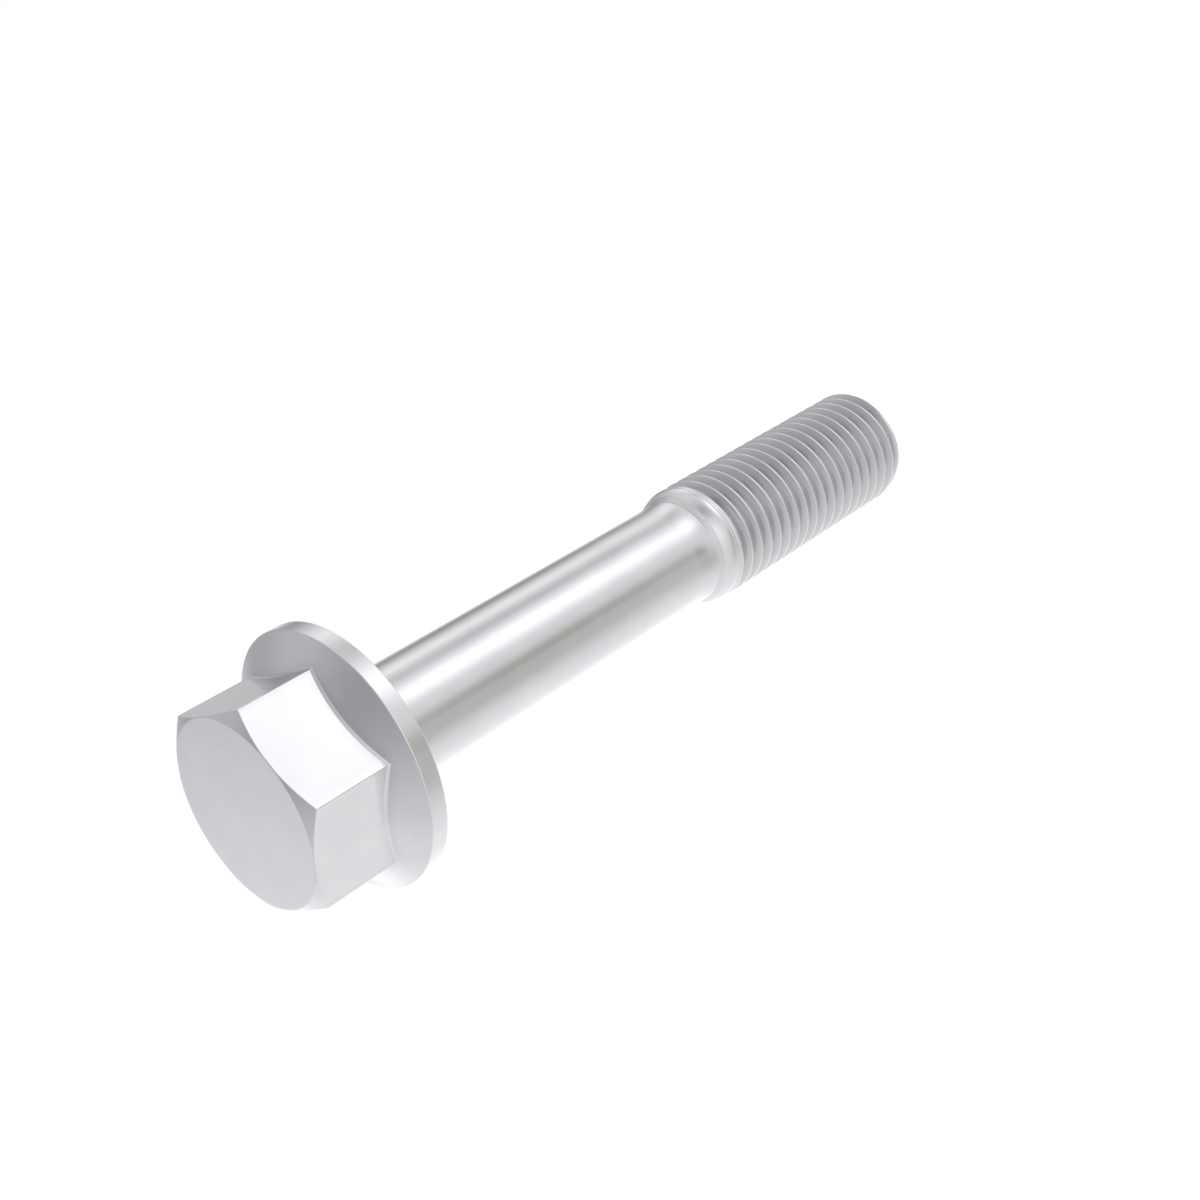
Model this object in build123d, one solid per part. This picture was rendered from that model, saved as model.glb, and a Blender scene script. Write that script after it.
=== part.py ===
from build123d import *
import math
import os

os.makedirs("parts", exist_ok=True)

# Hexagon flange bolt with a forged head and a rolled thread, all one solid.
# The axis is Z. The bolt stands on its head: Z is 0 on the head's flat end face,
# and +Z runs along the shank to the thread's tip. Two hexagon corners lie on X.
# Lengths are in millimetres, angles in degrees.

# Head
across_flats = 17.0
head_height = 10.6
head_chamfer_angle = 30.0
hexagon_corner_radius = 0.15
hexagon_foot_radius = 0.4
flange_diameter = 23.5
flange_rim_height = 1.6
flange_cone_angle = 30.0
flange_edge_radius = 0.15
bearing_edge_chamfer = 0.15

# Shank and thread. The phase is the share of a pitch from the thread's start
# to where the crest first crosses the X axis.
bolt_length = 72.0
shank_diameter = 10.4
neck_radius = 0.6
thread_diameter = 12.0
thread_pitch = 1.5
thread_length = 30.3
thread_phase = 0.4
thread_entry_angle = 25.0
tip_chamfer = 1.0
tip_chamfer_angle = 45.0

# Metric thread form, worked out from the pitch
thread_depth = 0.6134 * thread_pitch
crest_width = thread_pitch / 8
root_width = thread_pitch / 4
ridge_embed = thread_depth / 5

# Radii and heights that follow
flat_radius = across_flats / 2
corner_reach = across_flats / math.sqrt(3)
flange_radius = flange_diameter / 2
shank_radius = shank_diameter / 2
thread_radius = thread_diameter / 2
root_radius = thread_radius - thread_depth
rim_top_z = head_height - flange_rim_height
tip_z = head_height + bolt_length
thread_start_z = tip_z - thread_length

# Trimming tools stand this far outside what they trim
clearance = 1.0


def turned(*points):
    """A solid of revolution about Z from (radius, z) points."""
    outline = Polyline(*[(radius, 0, z) for radius, z in points], close=True)
    return revolve(make_face(outline), axis=Axis.Z)


def make_flange():
    """The flange: a cone down from the hexagon and a narrow upright rim."""
    cone_height = flange_radius * math.tan(math.radians(flange_cone_angle))
    flange = turned(
        (0, rim_top_z - cone_height),
        (flange_radius, rim_top_z),
        (flange_radius, head_height),
        (0, head_height),
    )
    rim_edges = flange.edges().filter_by(GeomType.CIRCLE).sort_by(Axis.Z)
    flange = fillet(rim_edges[0], flange_edge_radius)
    bearing_edge = flange.edges().filter_by(GeomType.CIRCLE).sort_by(Axis.Z)[-1]
    return chamfer(bearing_edge, bearing_edge_chamfer)


def make_hexagon():
    """The wrench hexagon, reaching down into the flange."""
    outline = RegularPolygon(flat_radius, 6, major_radius=False)
    hexagon = extrude(outline, amount=rim_top_z)
    return fillet(hexagon.edges().filter_by(Axis.Z), hexagon_corner_radius)


def make_head():
    """Hexagon and flange, blended where they meet and turned off at the end face."""
    head = make_hexagon() + make_flange()
    lowest_foot_z = rim_top_z / 3
    foot_edges = [
        edge
        for edge in head.edges()
        if edge.center().Z > lowest_foot_z
        and edge.geom_type != GeomType.LINE
        and math.hypot(edge.center().X, edge.center().Y) < corner_reach
    ]
    head = fillet(foot_edges, hexagon_foot_radius)
    reach = flange_radius + clearance
    chamfer_rise = (reach - flat_radius) * math.tan(math.radians(head_chamfer_angle))
    envelope = turned(
        (0, 0),
        (flat_radius, 0),
        (reach, chamfer_rise),
        (reach, head_height),
        (0, head_height),
    )
    return head & envelope


def make_shank():
    """The plain shank with its neck radius under the head."""
    shank = Pos(0, 0, head_height) * Cylinder(
        shank_radius,
        thread_start_z - head_height,
        align=(Align.CENTER, Align.CENTER, Align.MIN),
    )
    neck = turned(
        (0, head_height),
        (shank_radius + neck_radius, head_height),
        (shank_radius + neck_radius, head_height + neck_radius),
        (0, head_height + neck_radius),
    )
    hollow = Pos(0, 0, head_height + neck_radius) * Torus(shank_radius + neck_radius, neck_radius)
    return shank + (neck - hollow)


def make_ridge():
    """One ridge of metric form wound round the core, longer than the thread."""
    turns = math.ceil(thread_length / thread_pitch) + 3
    foot_z = thread_start_z + (thread_phase - 2) * thread_pitch
    winding = Helix(thread_pitch, turns * thread_pitch, root_radius, center=(0, 0, foot_z))
    flank_slope = (thread_pitch - root_width - crest_width) / 2 / thread_depth
    half_foot = (thread_pitch - root_width) / 2 + ridge_embed * flank_slope
    section_plane = Plane(origin=(root_radius, 0, foot_z), x_dir=(1, 0, 0), z_dir=(0, -1, 0))
    section = section_plane * Polygon(
        (-ridge_embed, -half_foot),
        (thread_depth, -crest_width / 2),
        (thread_depth, crest_width / 2),
        (-ridge_embed, half_foot),
        align=None,
    )
    return sweep(section, path=winding, is_frenet=True)


def make_thread():
    """The thread on its core, cut to the entry cone and the chamfered tip."""
    margin = 3 * thread_pitch
    core = Pos(0, 0, thread_start_z - margin) * Cylinder(
        root_radius,
        thread_length + 2 * margin,
        align=(Align.CENTER, Align.CENTER, Align.MIN),
    )
    reach = thread_radius + clearance
    entry_rise = (reach - shank_radius) / math.tan(math.radians(thread_entry_angle))
    tip_drop = (tip_chamfer + clearance) * math.tan(math.radians(tip_chamfer_angle))
    envelope = turned(
        (0, thread_start_z),
        (shank_radius, thread_start_z),
        (reach, thread_start_z + entry_rise),
        (reach, tip_z - tip_drop),
        (thread_radius - tip_chamfer, tip_z),
        (0, tip_z),
    )
    return (core + make_ridge()) & envelope


flange_bolt = make_head() + make_shank() + make_thread()
export_step(flange_bolt, "parts/flange_bolt.step")
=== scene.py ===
import math

import bmesh
import bpy
import numpy as np
from mathutils import Matrix, Vector


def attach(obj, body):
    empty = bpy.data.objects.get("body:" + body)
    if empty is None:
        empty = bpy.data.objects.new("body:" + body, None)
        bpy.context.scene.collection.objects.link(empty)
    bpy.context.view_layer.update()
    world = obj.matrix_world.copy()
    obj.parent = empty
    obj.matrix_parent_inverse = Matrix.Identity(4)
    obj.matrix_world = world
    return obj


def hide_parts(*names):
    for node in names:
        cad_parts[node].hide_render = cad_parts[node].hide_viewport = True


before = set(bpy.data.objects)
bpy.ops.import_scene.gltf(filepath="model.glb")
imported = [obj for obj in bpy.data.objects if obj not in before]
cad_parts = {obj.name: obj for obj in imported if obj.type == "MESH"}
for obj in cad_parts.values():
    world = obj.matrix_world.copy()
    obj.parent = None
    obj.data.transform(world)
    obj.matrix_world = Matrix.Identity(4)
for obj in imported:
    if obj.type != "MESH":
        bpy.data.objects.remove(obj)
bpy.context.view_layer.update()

MM = 0.001

# Sizes of the bolt in millimetres. Z is 0 on the head's end face.
ACROSS_FLATS = 17.0
HEAD_HEIGHT = 10.6
HEAD_CHAMFER = math.radians(30.0)
CORNER_RADIUS = 0.10
EDGE_RADIUS = 0.06
FOOT_RADIUS = 0.4
FLANGE_RADIUS = 11.75
RIM_HEIGHT = 1.6
FLANGE_CONE = math.radians(30.0)
RIM_EDGE_RADIUS = 0.10
NECK_RADIUS = 0.6
SHANK_RADIUS = 5.2
TIP_Z = 82.6
TIP_CHAMFER = 1.0

# The thread. The phase is the share of a pitch from its start to the first crest on X.
THREAD_START_Z = 52.3
THREAD_RADIUS = 6.0
PITCH = 1.5
THREAD_PHASE = 0.4

# Metric thread form, worked out from the pitch
THREAD_DEPTH = 0.6134 * PITCH
CREST_WIDTH = PITCH / 8
FLANK_ANGLE = math.radians(30.0)

# The crest's rounded edge: (rise, depth) from the sharp edge, in shares of the rounding.
# The last point lies on the flank.
CREST_ROUNDING = 0.05
CREST_BEND = ((-0.6, 0.0), (-0.1, 0.22), (0.2, 0.8))

# The rounded root starts at this share of the thread's depth
ROOT_START = 0.86

# Where the thread starts: fine tool rings, then a rounded rise to the full diameter
RING_WIDTH = 0.2
RING_COUNT = 3
RING_DEPTH = 0.04
ENTRY_LENGTH = 1.8
ENTRY_FULLNESS = 1.6
GROOVE_START = 2.0
GROOVE_FADE = 1.2
RINGS_END_Z = THREAD_START_Z + RING_COUNT * RING_WIDTH

# How finely the mesh follows the bolt: columns round it, and points along its outline
CORNER_COLUMNS = 5
FLAT_COLUMNS = 23
LINE_POINTS = {"chamfer": 3, "side": 4, "cone": 4, "rim": 2, "bearing face": 3}
ARC_POINTS = {"chamfer": 3, "edge": 5, "foot": 9, "neck": 7}
SHANK_ROWS = 15
ROWS_PER_RING = 8

# Shares of the way out over the end faces, down a flank and into the root
END_FACE_SHARES = (0.05, 0.3, 0.6, 0.85, 0.95, 0.98)
TIP_FACE_SHARES = (0.95, 0.6, 0.25)
FLANK_SHARES = (0.08, 0.36, 0.68, 1.0)
ROOT_SHARES = (0.35, 0.7, 1.0)

# The columns along a flat begin this many times the corner's rounding from the corner
FLAT_MARGIN = 1.4

# A held line has a point this close to each end, but never further along than the share
HOLD_LENGTH = 0.03
HOLD_SHARE = 0.2

# Turns of the thread's rows before its start and past its tip
SPARE_TURNS = 1

# Points closer than this are merged, and shorter edges are taken out
MERGE_DISTANCE = 0.004 * MM
SHORTEST_EDGE = 0.001 * MM

FLAT_RADIUS = ACROSS_FLATS / 2
RIM_TOP_Z = HEAD_HEIGHT - RIM_HEIGHT
SIXTH = math.pi / 3
DOWN = -math.pi / 2


def column_angles():
    """Angles round the axis: dense at the six rounded corners, even along the flats."""
    corner_reach = ACROSS_FLATS / math.sqrt(3)
    rounding = math.asin(CORNER_RADIUS / corner_reach / 2)
    corner_arc = np.linspace(-rounding, rounding, CORNER_COLUMNS)
    flat_start = rounding * FLAT_MARGIN
    flat = np.linspace(flat_start, SIXTH - flat_start, FLAT_COLUMNS)
    one_side = np.concatenate([corner_arc, flat])
    return np.concatenate([one_side + SIXTH * side for side in range(6)])


def hexagon_radius(angle):
    """Distance from the axis to the hexagon's side, corners rounded, at an angle from a corner."""
    from_flat = (angle % SIXTH) - SIXTH / 2
    straight = FLAT_RADIUS / math.cos(from_flat)
    centre_reach = (FLAT_RADIUS - CORNER_RADIUS) / math.cos(SIXTH / 2)
    from_corner = SIXTH / 2 - abs(from_flat)
    across = centre_reach * math.sin(from_corner)
    along = centre_reach * math.cos(from_corner)
    if across > CORNER_RADIUS:
        return straight
    rounded = along + math.sqrt(CORNER_RADIUS**2 - across**2)
    return min(straight, rounded)


def arc(centre, radius, start, end, count):
    """Points (r, z) on an arc between two angles in radians: 0 is outward, a right angle is up."""
    return [
        (centre[0] + radius * math.cos(angle), centre[1] + radius * math.sin(angle))
        for angle in np.linspace(start, end, count)
    ]


def held_line(start, end, count):
    """Points between two points, with one close to each end to keep the face flat."""
    length = max(math.dist(start, end), HOLD_LENGTH)
    near = min(HOLD_LENGTH / length, HOLD_SHARE)
    steps = [near, *np.linspace(near, 1 - near, count + 2)[1:-1], 1 - near]
    return [
        (start[0] + (end[0] - start[0]) * step, start[1] + (end[1] - start[1]) * step)
        for step in steps
    ]


def end_face_and_chamfer(side):
    """From near the axis over the end face and the corner chamfer to the hexagon's side."""
    sine = math.sin(HEAD_CHAMFER)
    cosine = math.cos(HEAD_CHAMFER)
    outer = side - EDGE_RADIUS
    face_centre = FLAT_RADIUS + (EDGE_RADIUS * cosine - EDGE_RADIUS) / sine
    side_centre_z = ((outer - FLAT_RADIUS) * sine + EDGE_RADIUS) / cosine
    # Mid-flat there is no chamfer left, and one rounding joins the face and the side
    if side_centre_z < EDGE_RADIUS:
        face_centre = outer
        side_centre_z = EDGE_RADIUS
    turn = DOWN + HEAD_CHAMFER
    points = [(share * FLAT_RADIUS, 0.0) for share in END_FACE_SHARES]
    points += arc((face_centre, EDGE_RADIUS), EDGE_RADIUS, DOWN, turn, ARC_POINTS["chamfer"])
    side_arc = arc((outer, side_centre_z), EDGE_RADIUS, turn, 0, ARC_POINTS["edge"])
    points += held_line(points[-1], side_arc[0], LINE_POINTS["chamfer"])
    return points + side_arc


def foot_fillet(side):
    """The fillet from the hexagon's side to the flange's cone."""
    foot_r = side + FOOT_RADIUS
    cone_z = RIM_TOP_Z - (FLANGE_RADIUS - foot_r) * math.tan(FLANGE_CONE)
    foot_z = cone_z - FOOT_RADIUS / math.cos(FLANGE_CONE)
    cone_end = math.pi / 2 + FLANGE_CONE
    return arc((foot_r, foot_z), FOOT_RADIUS, math.pi, cone_end, ARC_POINTS["foot"])


def head_profile(angle):
    """The head's outline at one angle, from near the axis out to the rim and back to the shank."""
    side = hexagon_radius(angle)
    points = end_face_and_chamfer(side)
    foot_arc = foot_fillet(side)
    points += held_line(points[-1], foot_arc[0], LINE_POINTS["side"])
    points += foot_arc
    rim_r = FLANGE_RADIUS - RIM_EDGE_RADIUS
    rim_z = RIM_TOP_Z + RIM_EDGE_RADIUS * math.tan(math.pi / 4 - FLANGE_CONE / 2)
    rim_arc = arc((rim_r, rim_z), RIM_EDGE_RADIUS, DOWN + FLANGE_CONE, 0, ARC_POINTS["edge"])
    points += held_line(foot_arc[-1], rim_arc[0], LINE_POINTS["cone"])
    points += rim_arc
    bearing_centre = (rim_r, HEAD_HEIGHT - RIM_EDGE_RADIUS)
    bearing_arc = arc(bearing_centre, RIM_EDGE_RADIUS, 0, math.pi / 2, ARC_POINTS["edge"])
    points += held_line(rim_arc[-1], bearing_arc[0], LINE_POINTS["rim"])
    points += bearing_arc
    neck_centre = (SHANK_RADIUS + NECK_RADIUS, HEAD_HEIGHT + NECK_RADIUS)
    neck_arc = arc(neck_centre, NECK_RADIUS, DOWN, -math.pi, ARC_POINTS["neck"])
    points += held_line(bearing_arc[-1], neck_arc[0], LINE_POINTS["bearing face"])
    return points + neck_arc


def entry_radius(z):
    """Radius of the rounded rise from the shank to the thread, with the tool rings at its foot."""
    past = z - THREAD_START_Z
    share = min(max(past / ENTRY_LENGTH, 0.0), 1.0)
    radius = SHANK_RADIUS + (THREAD_RADIUS - SHANK_RADIUS) * (1 - (1 - share) ** ENTRY_FULLNESS)
    if 0 < past < RING_COUNT * RING_WIDTH:
        radius -= RING_DEPTH * (1 - math.cos(math.tau * past / RING_WIDTH)) / 2
    return radius


def thread_step():
    """One pitch of the thread: (rise from the crest's middle, depth below the crest)."""
    half = [(0.0, 0.0)]
    for rise, depth in CREST_BEND:
        half.append((CREST_WIDTH / 2 + CREST_ROUNDING * rise, CREST_ROUNDING * depth))
    flank_rise, flank_top = half[-1]
    flank_foot = THREAD_DEPTH * ROOT_START
    for share in FLANK_SHARES:
        drop = (flank_foot - flank_top) * share
        half.append((flank_rise + drop * math.tan(FLANK_ANGLE), flank_top + drop))
    root_rise = half[-1][0]
    for share in ROOT_SHARES:
        depth = flank_foot + (THREAD_DEPTH - flank_foot) * math.sin(math.pi / 2 * share)
        half.append((root_rise + (PITCH / 2 - root_rise) * share, depth))
    mirrored = [(PITCH - rise, depth) for rise, depth in reversed(half[1:-1])]
    return half + mirrored


def thread_radius_at(z, depth):
    """Radius of the thread's surface: a groove cut into the blank, fading in at the start."""
    tip = THREAD_RADIUS - TIP_CHAMFER + (TIP_Z - z)
    blank = min(entry_radius(z), tip, THREAD_RADIUS)
    fade = min(max((z - THREAD_START_Z - GROOVE_START) / GROOVE_FADE, 0.0), 1.0)
    return min(blank, THREAD_RADIUS - depth * fade)


def shank_rows(count):
    """Rows of points (r, z) from the neck over the plain shank and the tool rings."""
    rows = []
    for z in np.linspace(HEAD_HEIGHT + NECK_RADIUS, THREAD_START_Z, SHANK_ROWS + 1)[1:]:
        rows.append([(SHANK_RADIUS, z)] * count)
    for z in np.linspace(THREAD_START_Z, RINGS_END_Z, RING_COUNT * ROWS_PER_RING + 1)[1:]:
        rows.append([(entry_radius(z), z)] * count)
    return rows


def thread_rows(angles):
    """Rows of points (r, z) that climb a pitch in each turn, held between the rings and the tip."""
    rows = []
    turns = math.ceil((TIP_Z - THREAD_START_Z) / PITCH) + 2 * SPARE_TURNS
    for turn in range(turns):
        for rise, depth in thread_step():
            row = []
            for angle in angles:
                climbed = turn - SPARE_TURNS + THREAD_PHASE + angle / math.tau
                z = THREAD_START_Z + PITCH * climbed + rise
                z = min(max(z, RINGS_END_Z), TIP_Z)
                row.append((thread_radius_at(z, depth), z))
            rows.append(row)
    return rows


def grid_faces(row_count, count, winding):
    """Faces between neighbouring rows. In the winding rows the last column meets the first one
    a turn further on."""
    turn = len(thread_step())
    faces = []
    for row in range(row_count - 1):
        for column in range(count):
            after = (column + 1) % count
            wraps = after == 0 and row in winding
            low = row + turn if wraps else row
            faces.append(
                (
                    row * count + column,
                    (row + 1) * count + column,
                    (low + 1) * count + after,
                    low * count + after,
                )
            )
    top = (row_count - 1) * count
    faces.append(tuple(range(count)))
    faces.append(tuple(reversed(range(top, top + count))))
    return faces


def build_bolt_mesh():
    """The whole bolt as one grid: a column for each angle, a row for each step of its outline."""
    angles = column_angles()
    count = len(angles)
    profiles = [head_profile(angle) for angle in angles]
    rows = [list(row) for row in zip(*profiles)] + shank_rows(count)
    first_winding = len(rows)
    rows += thread_rows(angles)
    winding = range(first_winding, len(rows) - 1 - len(thread_step()))
    for share in TIP_FACE_SHARES:
        rows.append([(share * (THREAD_RADIUS - TIP_CHAMFER), TIP_Z)] * count)
    vertices = []
    for row in rows:
        for angle, (radius, z) in zip(angles, row):
            vertices.append((radius * math.cos(angle) * MM, radius * math.sin(angle) * MM, z * MM))
    mesh = bpy.data.meshes.new("flange_bolt_surface")
    mesh.from_pydata(vertices, [], grid_faces(len(rows), count, winding))
    return mesh


def clean(mesh):
    """Merges the points that meet at the thread's ends and turns the faces outward."""
    work = bmesh.new()
    work.from_mesh(mesh)
    bmesh.ops.remove_doubles(work, verts=work.verts, dist=MERGE_DISTANCE)
    bmesh.ops.dissolve_degenerate(work, edges=work.edges, dist=SHORTEST_EDGE)
    bmesh.ops.recalc_face_normals(work, faces=work.faces)
    for face in work.faces:
        face.smooth = True
    work.to_mesh(mesh)
    work.free()


class Shader:
    """Short calls for one node tree. Values may be numbers, colours or other nodes' outputs."""

    def __init__(self, tree):
        self.tree = tree
        tree.nodes.clear()

    def node(self, kind, **settings):
        made = self.tree.nodes.new(kind)
        for name, value in settings.items():
            setattr(made, name, value)
        return made

    def link(self, output, target):
        self.tree.links.new(output, target)

    def feed(self, target, value):
        """Links an output to an input, or sets the input to a plain value."""
        if isinstance(value, bpy.types.NodeSocket):
            self.link(value, target)
        else:
            target.default_value = value

    def math(self, operation, first, second=0.0):
        made = self.node("ShaderNodeMath", operation=operation)
        self.feed(made.inputs[0], first)
        self.feed(made.inputs[1], second)
        return made.outputs[0]

    def vector(self, operation, *values):
        made = self.node("ShaderNodeVectorMath", operation=operation)
        for socket, value in zip(made.inputs, values):
            self.feed(socket, value)
        return made

    def mix(self, share, first, second):
        """Mixes two colours. They are inputs 6 and 7 of the node, and output 2 is their mix."""
        made = self.node("ShaderNodeMix", data_type="RGBA")
        self.feed(made.inputs[0], share)
        self.feed(made.inputs[6], first)
        self.feed(made.inputs[7], second)
        return made.outputs[2]

    def spread(self, value, low, high, out_low=0.0, out_high=1.0):
        """Maps the range from low to high onto another range, and holds what lies past it."""
        made = self.node("ShaderNodeMapRange")
        for socket, number in zip(made.inputs, (value, low, high, out_low, out_high)):
            self.feed(socket, number)
        return made.outputs[0]

    def noise(self, vector, scale, detail, roughness=0.5):
        made = self.node("ShaderNodeTexNoise")
        self.feed(made.inputs["Vector"], vector)
        made.inputs["Scale"].default_value = scale
        made.inputs["Detail"].default_value = detail
        made.inputs["Roughness"].default_value = roughness
        return made.outputs["Fac"]

    def stretched(self, vector, scale):
        made = self.node("ShaderNodeMapping")
        self.feed(made.inputs["Vector"], vector)
        made.inputs["Scale"].default_value = scale
        return made.outputs["Vector"]

    def output(self, kind, surface):
        made = self.node(kind)
        self.link(surface, made.inputs["Surface"])


# The steel's two close tones, and a painted shade that darkens its recesses, where little light
# reaches
STEEL_LIGHT = (0.785, 0.787, 0.797, 1.0)
STEEL_DARK = (0.755, 0.757, 0.770, 1.0)
RECESS_PAINTED_SHADE = (0.50, 0.50, 0.505, 1.0)

# For the painted shade: how far round a point its surroundings are looked at, and how open it is
# from dark to clear
RECESS_REACH = 1.3 * MM
RECESS_SAMPLES = 8
RECESS_TO_OPEN = (0.35, 0.98)

# Noise: features a metre, fineness, how rough it is, and the part of its range that is used
CLOUD_SCALE = 260.0
CLOUD_DETAIL = 2.0
CLOUD_RANGE = (0.35, 0.65)
GRAIN_SCALE = 14000.0
GRAIN_DETAIL = 2.0
GRAIN_RANGE = (0.3, 0.7)
DRAWN_SCALE = 5000.0
DRAWN_DETAIL = 3.0
FINE_NOISE_ROUGHNESS = 0.6

# Drawing lines are the same noise drawn out along the bolt
DRAWN_STRETCH = (1.0, 1.0, 0.02)

ROUGHNESS_RANGE = (0.09, 0.13)
BUMP_STRENGTH = 0.03
BUMP_HEIGHT = 0.02 * MM


def steel_material():
    """Bright satin steel: faint cloudiness, fine grain, drawing lines, and painted shade in its
    recesses.
    """
    material = bpy.data.materials.new("satin_steel")
    material.use_nodes = True
    build = Shader(material.node_tree)
    place = build.node("ShaderNodeTexCoord").outputs["Object"]
    cloud = build.spread(build.noise(place, CLOUD_SCALE, CLOUD_DETAIL), *CLOUD_RANGE)
    grain = build.noise(place, GRAIN_SCALE, GRAIN_DETAIL, FINE_NOISE_ROUGHNESS)
    lines = build.stretched(place, DRAWN_STRETCH)
    drawn = build.noise(lines, DRAWN_SCALE, DRAWN_DETAIL, FINE_NOISE_ROUGHNESS)
    occlusion = build.node("ShaderNodeAmbientOcclusion", samples=RECESS_SAMPLES, only_local=True)
    occlusion.inputs["Distance"].default_value = RECESS_REACH
    openness = build.spread(occlusion.outputs["AO"], *RECESS_TO_OPEN)
    # Painted shade: the colour goes to the dark grey where the ambient occlusion finds the surface
    # closed in
    colour = build.mix(openness, RECESS_PAINTED_SHADE, build.mix(cloud, STEEL_DARK, STEEL_LIGHT))
    roughness = build.spread(grain, *GRAIN_RANGE, *ROUGHNESS_RANGE)
    bump = build.node("ShaderNodeBump")
    bump.inputs["Strength"].default_value = BUMP_STRENGTH
    bump.inputs["Distance"].default_value = BUMP_HEIGHT
    build.link(build.math("ADD", grain, drawn), bump.inputs["Height"])
    shader = build.node("ShaderNodeBsdfPrincipled")
    shader.inputs["Metallic"].default_value = 1.0
    build.link(colour, shader.inputs["Base Color"])
    build.link(roughness, shader.inputs["Roughness"])
    build.link(bump.outputs["Normal"], shader.inputs["Normal"])
    build.output("ShaderNodeOutputMaterial", shader.outputs[0])
    return material


def make_bolt():
    """The bolt that stands for the CAD node."""
    mesh = build_bolt_mesh()
    clean(mesh)
    bolt = bpy.data.objects.new("bolt_body", mesh)
    bpy.context.scene.collection.objects.link(bolt)
    mesh.materials.append(steel_material())
    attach(bolt, "root")
    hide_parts("flange_bolt")


# The camera stands off the head's end, with the hexagon's second corner upward
CAMERA_PLACE = Vector((-33.2, 118.4, -56.0)) * MM
CAMERA_AIM = Vector((-0.17, 0.50, 40.74)) * MM
CAMERA_UP = Vector((math.cos(SIXTH), math.sin(SIXTH), 0.0))
LENS_MM = 50.67
SENSOR_MM = 36.0

# What is nearer or further than this, in metres, isn't seen
NEAREST = 0.005
FURTHEST = 20.0


def make_camera():
    """The photo's viewpoint. Returns the directions right, up and toward the camera."""
    toward = (CAMERA_PLACE - CAMERA_AIM).normalized()
    right = CAMERA_UP.cross(toward).normalized()
    up = toward.cross(right)
    data = bpy.data.cameras.new("camera")
    data.lens = LENS_MM
    data.sensor_width = SENSOR_MM
    data.clip_start = NEAREST
    data.clip_end = FURTHEST
    camera = bpy.data.objects.new("camera", data)
    turn = Matrix((right, up, toward)).transposed().to_4x4()
    camera.matrix_world = Matrix.Translation(CAMERA_PLACE) @ turn
    bpy.context.scene.collection.objects.link(camera)
    bpy.context.scene.camera = camera
    return right, up, toward


# Soft lights and grey cards round the bolt: direction as (right, up, toward) of the photo's
# view, sharpness of the edge, and strength in red, green and blue. Cards take light away.
STUDIO = {
    "key": ((0.47, 0.86, 0.18), 28.0, (0.66, 0.66, 0.69)),
    "front": ((0.25, 0.10, 0.95), 9.0, (0.35, 0.35, 0.36)),
    "top edge": ((-0.16, 0.87, -0.46), 48.0, (0.24, 0.24, 0.23)),
    "backdrop": ((0.22, -0.08, -0.97), 11.5, (0.51, 0.51, 0.47)),
    "low bounce": ((0.11, -0.78, -0.61), 2.7, (0.27, 0.26, 0.27)),
    "left glow": ((-0.52, -0.52, -0.68), 23.0, (0.68, 0.68, 0.72)),
    "card high behind": ((-0.20, 0.47, -0.86), 29.0, (-0.42, -0.42, -0.42)),
    "card above": ((0.05, 0.75, 0.66), 14.0, (-0.30, -0.30, -0.29)),
    "card above behind": ((0.11, 0.97, -0.20), 77.0, (-0.18, -0.17, -0.17)),
    "card far left": ((-0.75, 0.50, -0.43), 14.0, (-0.28, -0.28, -0.28)),
    "card left": ((-0.81, -0.22, 0.54), 3.7, (-0.41, -0.40, -0.38)),
    "card low behind": ((-0.66, -0.20, -0.73), 6.3, (-0.41, -0.40, -0.39)),
    "card right": ((0.98, -0.12, 0.14), 13.6, (-0.25, -0.25, -0.27)),
    "card right edge": ((0.94, 0.23, 0.23), 73.0, (-0.23, -0.24, -0.28)),
}

# The even light between them, and what the camera sees past the bolt
OPEN_LIGHT = (0.80, 0.79, 0.805)
BACKDROP_WHITE = (1.0, 1.0, 1.0, 1.0)


def studio_light(build, right, up, toward):
    """The even light with each soft light added and each card taken away."""
    direction = build.node("ShaderNodeTexCoord").outputs["Generated"]
    total = OPEN_LIGHT
    for aim, sharpness, strength in STUDIO.values():
        axis = (right * aim[0] + up * aim[1] + toward * aim[2]).normalized()
        facing = build.vector("DOT_PRODUCT", direction, axis).outputs["Value"]
        fall = build.math("MULTIPLY", build.math("SUBTRACT", facing, 1.0), sharpness)
        share = build.math("EXPONENT", fall)
        total = build.vector("MULTIPLY_ADD", share, strength, total).outputs["Vector"]
    return total


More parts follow.
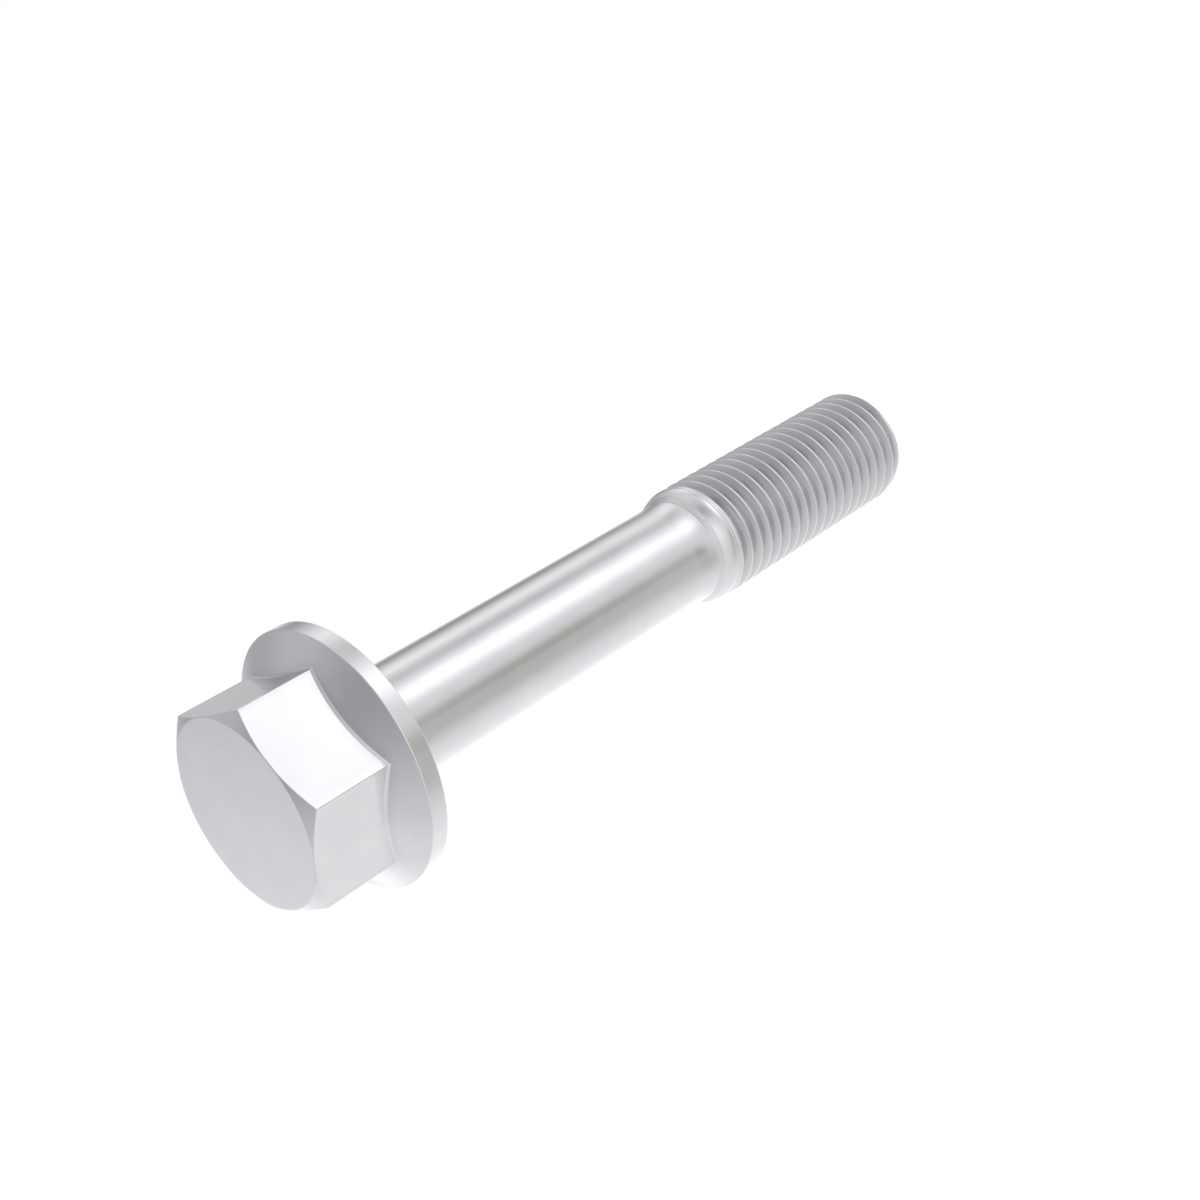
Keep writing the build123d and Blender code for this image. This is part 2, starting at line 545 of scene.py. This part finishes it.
def make_world(right, up, toward):
    """Plain white for the camera. The bolt and the floor are lit by the soft studio."""
    world = bpy.data.worlds.new("studio")
    bpy.context.scene.world = world
    world.use_nodes = True
    build = Shader(world.node_tree)
    studio = build.node("ShaderNodeBackground")
    build.link(studio_light(build, right, up, toward), studio.inputs["Color"])
    white = build.node("ShaderNodeBackground")
    white.inputs["Color"].default_value = BACKDROP_WHITE
    choose = build.node("ShaderNodeMixShader")
    build.link(build.node("ShaderNodeLightPath").outputs["Is Camera Ray"], choose.inputs[0])
    build.link(studio.outputs[0], choose.inputs[1])
    build.link(white.outputs[0], choose.inputs[2])
    build.output("ShaderNodeOutputWorld", choose.outputs[0])


# The floor reaches this far each way, in metres, and lies just under the bolt
FLOOR_HALF = 3.0
FLOOR_DROP = 0.02 * MM
FLOOR_COLOUR = (0.95, 0.95, 0.95, 1.0)

# A faint glow of its own makes the floor as white as the backdrop and leaves its shadow
FLOOR_LIFT = 0.20


def floor_material():
    """Pale where the camera looks at it from above, and clear for all else."""
    material = bpy.data.materials.new("pale_floor")
    material.use_nodes = True
    build = Shader(material.node_tree)
    backfacing = build.node("ShaderNodeNewGeometry").outputs["Backfacing"]
    from_above = build.math("SUBTRACT", 1.0, backfacing)
    to_camera = build.node("ShaderNodeLightPath").outputs["Is Camera Ray"]
    clear = build.node("ShaderNodeBsdfTransparent")
    pale = build.node("ShaderNodeBsdfDiffuse")
    pale.inputs["Color"].default_value = FLOOR_COLOUR
    lift = build.node("ShaderNodeEmission")
    lift.inputs["Strength"].default_value = FLOOR_LIFT
    white = build.node("ShaderNodeAddShader")
    build.link(pale.outputs[0], white.inputs[0])
    build.link(lift.outputs[0], white.inputs[1])
    choose = build.node("ShaderNodeMixShader")
    build.link(build.math("MULTIPLY", to_camera, from_above), choose.inputs[0])
    build.link(clear.outputs[0], choose.inputs[1])
    build.link(white.outputs[0], choose.inputs[2])
    build.output("ShaderNodeOutputMaterial", choose.outputs[0])
    return material


def make_floor():
    """The floor under the bolt. From below it isn't seen, so the head's end face shows."""
    mesh = bpy.data.meshes.new("floor")
    sides = ((-1, -1), (1, -1), (1, 1), (-1, 1))
    corners = [(x * FLOOR_HALF, y * FLOOR_HALF, -FLOOR_DROP) for x, y in sides]
    mesh.from_pydata(corners, [], [(0, 1, 2, 3)])
    mesh.materials.append(floor_material())
    floor = bpy.data.objects.new("floor", mesh)
    bpy.context.scene.collection.objects.link(floor)


make_bolt()
view_right, view_up, view_toward = make_camera()
make_world(view_right, view_up, view_toward)
make_floor()
bpy.context.scene.view_settings.view_transform = "Standard"
